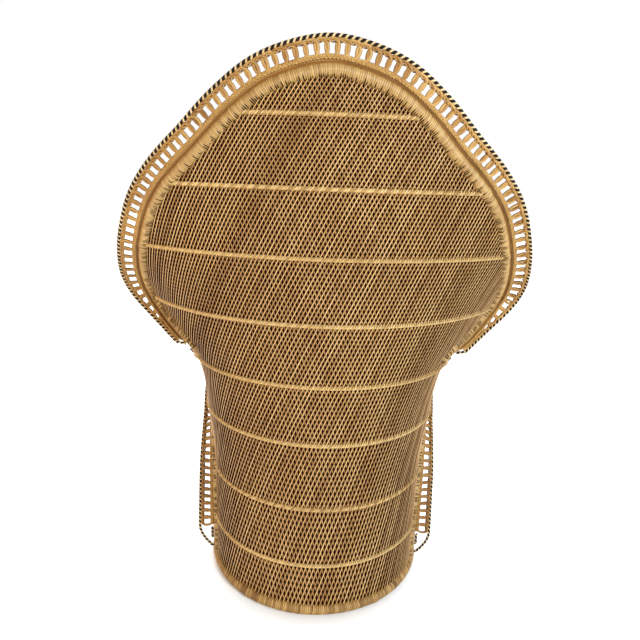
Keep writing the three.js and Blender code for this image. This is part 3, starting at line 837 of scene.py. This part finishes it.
def loops(name, start, end, side, inner, share, pitch, cane, light, replaced):
    """Row of tall arches of cane that stand out of the plait and cross their neighbours at the sides."""
    pile = Pile()
    fine = np.linspace(start, end, LOOP_SAMPLES)
    centre, out, face = edge_frame(fine, side)
    level = height_along(fine)
    middle = centre + out * (inner + border_width * 0.5 * share(level))[:, None]
    travel = travelled(middle)
    spacing = pitch(level)
    counted = np.concatenate([[0], np.cumsum(np.diff(travel) / spacing[1:])])
    count = int(counted[-1])
    step = spacing / np.gradient(travel, fine)
    turn = np.linspace(0, 2 * math.pi, LOOP_POINTS, endpoint=False)
    for place_at in np.interp((np.arange(count) + 0.5) * counted[-1] / count, counted, fine):
        half = LOOP_SPREAD * float(np.interp(place_at, fine, step)) * rng.normal(1, LOOP_WIDTH_SPREAD)
        skew = rng.normal(0, LOOP_LEAN_SPREAD)
        length = float(share(float(height_along(place_at))))
        foot = inner + PLAIT_WIDTH * LOOP_FOOT * length
        tip = inner + border_width * length + rng.normal(0, LOOP_TIP_SPREAD)
        sideways = half * np.sign(np.sin(turn)) * np.abs(np.sin(turn)) ** LOOP_SHOULDER
        reach = (foot + tip) / 2 - (tip - foot) / 2 * np.cos(turn)
        lean = skew * (reach - foot) / border_width
        centre, out, face = edge_frame(place_at + sideways + lean, side)
        path = centre + out * reach[:, None] + face * (LOOP_CROSSING * np.sin(turn))[:, None]
        pile.cane(path, face, cane, cane * LOOP_FLATNESS, light * rng.beta(2, 2), sides=8, closed=True)
    along = np.linspace(start, end, int((end - start) / EDGING_STEP))
    centre, out, face = edge_frame(along, side)
    width = share(height_along(along))
    for strand in (0.0, math.pi):
        turn = 2 * math.pi * along / FAN_LOOP_PITCH + strand
        reach = inner + (border_width - EDGING_INSET + EDGING_WAVE * np.cos(turn)) * width
        path = centre + out * reach[:, None] + face * ((cane + LOOP_CROSSING) * np.sin(turn))[:, None]
        pile.cane(path, face, EDGING_CANE, EDGING_CANE, light * rng.beta(2, 2))
    return pile.piece(name, border_cane, "cane_border", [replaced])


# Plies of the cord: material, place in the turn, then distance from the middle and half-width in quarters
# of the cord's thickness
PLIES = {"black": (black_ply, 0.0, 0.94, 1.5), "pale": (pale_ply, math.pi, 1.06, 1.12)}
PLY_DEPTH = 1.08
STEPS_PER_LAY = 12
EVEN_TONE = 0.5


def twisted_cord(word, along, side, distance, replaced):
    """Two-ply cord: a heavy black and a lighter natural strand, twisted the same way on both sides."""
    quarter = EDGE_CORD / 4
    twist = 2 * math.pi / CORD_LAY * (1 if side < 0 else -1)
    step = CORD_LAY / STEPS_PER_LAY
    along = np.linspace(along[0], along[1], int((along[1] - along[0]) / step))
    centre, out, face = edge_frame(along, side)
    reach = distance(height_along(along))
    centre = centre + out * reach[:, None]
    travel = travelled(centre)
    for ply, (material, turned, away, wide) in PLIES.items():
        pile = Pile()
        turn = twist * travel + turned
        spoke = out * np.cos(turn)[:, None] + face * np.sin(turn)[:, None]
        path = centre + spoke * quarter * away
        pile.cane(path, spoke, quarter * wide, quarter * PLY_DEPTH, EVEN_TONE, sides=7)
        pile.piece(f"{word}_{ply}", material, "twisted_cord", [replaced] if ply == "black" else ())


BEAD_SAMPLES = 440
BEAD_LIFT, BEAD_WIDE, BEAD_DEEP = BEAD_CANE * 0.22, BEAD_CANE * 0.32, BEAD_CANE * 0.45


def bead():
    """Dark cane along the outside of the fan's roll, drawn into the roll at its ends."""
    pile = Pile()
    along = np.linspace(-fan_cord_end, fan_cord_end, BEAD_SAMPLES)
    centre, out, face = edge_frame(along)
    closing = smooth(fan_end, fan_cord_end, np.abs(along))
    reach = mix(RIM_ROLL / 2 + BEAD_LIFT, roll_skin, closing)
    pile.cane(centre + out * reach[:, None], face, BEAD_WIDE, BEAD_DEEP, EVEN_TONE, sides=8)
    pile.piece("fan_bead_cane", bead_cane, "cane_dark", ["fan_bead"])


bead()
plait("fan_plait", -fan_end, fan_end, 0, fan_inner, fan_share, FAN_CORD_RUN * 0.9)
loops("fan_loops", -fan_end, fan_end, 0, fan_inner, fan_share, fan_loop_pitch, FAN_LOOP_CANE, 1.0,
      "fan_loop_border")
twisted_cord("fan_cord", (-fan_cord_end, fan_cord_end), 0, fan_cord_distance, "fan_edge_cord")


def post_cord_distance(z):
    return np.full(np.shape(z), cord_hug)


# The post cord starts a little below the arm's border and stops a little above the end of the arm's cord
POST_CORD_BELOW, POST_CORD_ABOVE = 9.5 * MM, 28.5 * MM
# The arm loops are painted darker than the fan's loops: painted shade.
ARM_LOOP_SHADED_TONE = 0.45
arm_from, arm_to = along_at_height(ARM_BORDER_START), along_at_height(ARM_BORDER_END)
arm_cord = arm_from, along_at_height(CORD_END)
post_cord = along_at_height(ARM_BORDER_END - POST_CORD_BELOW), along_at_height(CORD_END + POST_CORD_ABOVE)
for word, side in SIDES:
    plait(f"arm_plait_{word}", arm_from, arm_to, side, arm_inner, arm_share)
    loops(f"arm_loops_{word}", arm_from, arm_to, side, arm_inner, arm_share, arm_loop_pitch, ARM_LOOP_CANE,
          ARM_LOOP_SHADED_TONE, f"arm_loop_border_{word}")
    twisted_cord(f"arm_cord_{word}", arm_cord, side, arm_cord_distance, f"arm_edge_cord_{word}")
    twisted_cord(f"post_twist_{word}", post_cord, side, post_cord_distance, f"post_cord_{word}")


# Seat: radial stakes and rings of cane woven over and under them
deck_low, deck_high = (Vector(corner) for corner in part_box("seat_deck"))
DECK_LEVEL = (deck_low.z + deck_high.z) / 2
DECK_RADIUS = (deck_high.x - deck_low.x) / 2
STAKES = 64
HUB = 16 * MM
INNER_ZONE, MIDDLE_ZONE = 60 * MM, 120 * MM
STAKE_WIDE, STAKE_DEEP = 1.7 * MM, 1.3 * MM
STAKE_POINTS = 12
STAKE_MARGIN, RING_MARGIN = 1 * MM, 2 * MM
FIRST_RING = 12 * MM
RING_PITCH = 5.2 * MM
RING_WAVE = 1.2 * MM
RING_WIDE, RING_DEEP = 2.5 * MM, 1.6 * MM
POINTS_PER_STAKE, FEWEST_POINTS = 4, 32


def seat_weave():
    """Every fourth stake starts at the hub, the others farther out as the room between them grows."""
    pile = Pile()
    middle = np.array([0, AXIS_Y, DECK_LEVEL])
    for i in range(STAKES):
        angle = 2 * math.pi * i / STAKES
        out = np.array([math.sin(angle), math.cos(angle), 0])
        first = HUB if i % 4 == 0 else (INNER_ZONE if i % 2 == 0 else MIDDLE_ZONE)
        path = out * np.linspace(first, DECK_RADIUS - STAKE_MARGIN, STAKE_POINTS)[:, None] + middle
        pile.cane(path, np.broadcast_to(UP, path.shape), STAKE_WIDE, STAKE_DEEP, rng.beta(2, 2))
    for k, radius in enumerate(np.arange(FIRST_RING, DECK_RADIUS - RING_MARGIN, RING_PITCH)):
        stakes = STAKES // 4 if radius < INNER_ZONE else (STAKES // 2 if radius < MIDDLE_ZONE else STAKES)
        points = max(stakes * POINTS_PER_STAKE, FEWEST_POINTS)
        angle = np.linspace(0, 2 * math.pi, points, endpoint=False)
        wave = np.cos(angle * stakes / 2 + math.pi * (k % 2)) * RING_WAVE
        x, y = radius * np.sin(angle), AXIS_Y + radius * np.cos(angle)
        path = np.stack([x, y, DECK_LEVEL + wave], -1)
        up = np.broadcast_to(UP, path.shape)
        pile.cane(path, up, RING_WIDE, RING_DEEP, rng.beta(2.2, 2), closed=True)
    pile.piece("seat_weave", seat_cane, "cane_weave", ["seat_deck"])


seat_weave()


# Stage: pale floor, soft studio light and the photograph's camera
GLOW_FROM, GLOW_NEAR, GLOW_FAR = 0.27, 0.35, 2.4
FLOOR_SIZE = 14.0
WORLD_LIGHT, WORLD_SEEN = 0.42, 1.0


def pale_shader(name):
    """Pale floor that glows towards white away from the chair."""
    s = Shader(name)
    output = s.tree.nodes["Material Output"]
    s.bsdf.inputs["Base Color"].default_value = (0.86, 0.86, 0.86, 1)
    s.bsdf.inputs["Roughness"].default_value = 0.9
    rays = s.node("ShaderNodeLightPath").outputs
    seen = s.math("MAXIMUM", rays["Is Camera Ray"], rays["Is Glossy Ray"])
    seen = s.math("MAXIMUM", seen, rays["Is Transmission Ray"])
    where = s.node("ShaderNodeTexCoord").outputs["Object"]
    away = s.node("ShaderNodeVectorMath", {0: where}, operation="LENGTH").outputs["Value"]
    near = s.map_range(away, GLOW_FROM, GLOW_NEAR, 0.0, 0.55)
    far = s.map_range(away, GLOW_NEAR, GLOW_FAR, 0.0, 0.45)
    level = s.math("MULTIPLY", seen, s.math("ADD", near, far))
    glow = s.node("ShaderNodeEmission", {"Color": (1, 1, 1, 1), "Strength": level})
    both = s.node("ShaderNodeAddShader", {0: s.bsdf.outputs[0], 1: glow.outputs[0]})
    s.tree.links.new(both.outputs[0], output.inputs["Surface"])
    return s.material


def floor():
    mesh = bpy.data.meshes.new("floor")
    corners = [(x * FLOOR_SIZE, y * FLOOR_SIZE, 0) for x, y in ((-1, -1), (1, -1), (1, 1), (-1, 1))]
    mesh.from_pydata(corners, [], [(0, 1, 2, 3)])
    mesh.materials.append(pale_shader("pale_floor"))
    plane = bpy.data.objects.new("floor", mesh)
    bpy.context.scene.collection.objects.link(plane)


def area_light(name, place_at, target, size, power, colour=(1, 1, 1)):
    lamp = bpy.data.lights.new(name, "AREA")
    lamp.shape = "DISK"
    lamp.size = size
    lamp.energy = power
    lamp.color = colour
    thing = bpy.data.objects.new(name, lamp)
    thing.location = place_at
    thing.rotation_euler = (Vector(target) - Vector(place_at)).to_track_quat("-Z", "Y").to_euler()
    bpy.context.scene.collection.objects.link(thing)


def studio():
    """White surround, brighter to the eye than as a light, with three soft lamps."""
    world = bpy.data.worlds.new("studio")
    bpy.context.scene.world = world
    world.use_nodes = True
    tree = world.node_tree
    back = tree.nodes["Background"]
    rays = tree.nodes.new("ShaderNodeLightPath").outputs
    seen = rays["Is Camera Ray"]
    for kind in ("Is Glossy Ray", "Is Transmission Ray"):
        either = tree.nodes.new("ShaderNodeMath")
        either.operation = "MAXIMUM"
        tree.links.new(seen, either.inputs[0])
        tree.links.new(rays[kind], either.inputs[1])
        seen = either.outputs[0]
    level = tree.nodes.new("ShaderNodeMapRange")
    level.inputs["To Min"].default_value = WORLD_LIGHT
    level.inputs["To Max"].default_value = WORLD_SEEN
    tree.links.new(seen, level.inputs["Value"])
    tree.links.new(level.outputs[0], back.inputs["Strength"])
    back.inputs["Color"].default_value = (1, 1, 1, 1)
    area_light("key", (-1.9, 2.4, 2.1), (0, 0.1, 0.6), 1.2, 112, (0.82, 0.92, 1.0))
    area_light("fill", (2.4, 2.0, 1.0), (0, 0, 0.5), 2.0, 44, (1.0, 0.79, 0.5))
    area_light("front", (0.6, -2.6, 2.2), (0, 0, 0.6), 2.0, 70)


def photo_camera():
    focal_pixels, image_pixels = 550.0, 640.0
    distance, height, shift = 1.57034, 1.17997, 0.00541
    pitch, roll = math.radians(15.11), math.radians(2.0)
    lens = bpy.data.cameras.new("photo_camera")
    lens.sensor_width = 36.0
    lens.lens = lens.sensor_width * focal_pixels / image_pixels
    right = Vector((-1, 0, 0))
    up = Vector((0, -math.sin(pitch), math.cos(pitch)))
    back = right.cross(up)
    turned_right = right * math.cos(roll) + up * math.sin(roll)
    turned_up = up * math.cos(roll) - right * math.sin(roll)
    basis = Matrix((turned_right, turned_up, back)).transposed().to_4x4()
    camera = bpy.data.objects.new("photo_camera", lens)
    camera.matrix_world = Matrix.Translation((shift, AXIS_Y + distance, height)) @ basis
    bpy.context.scene.collection.objects.link(camera)
    bpy.context.scene.camera = camera


floor()
studio()
photo_camera()
bpy.context.scene.view_settings.view_transform = "Standard"
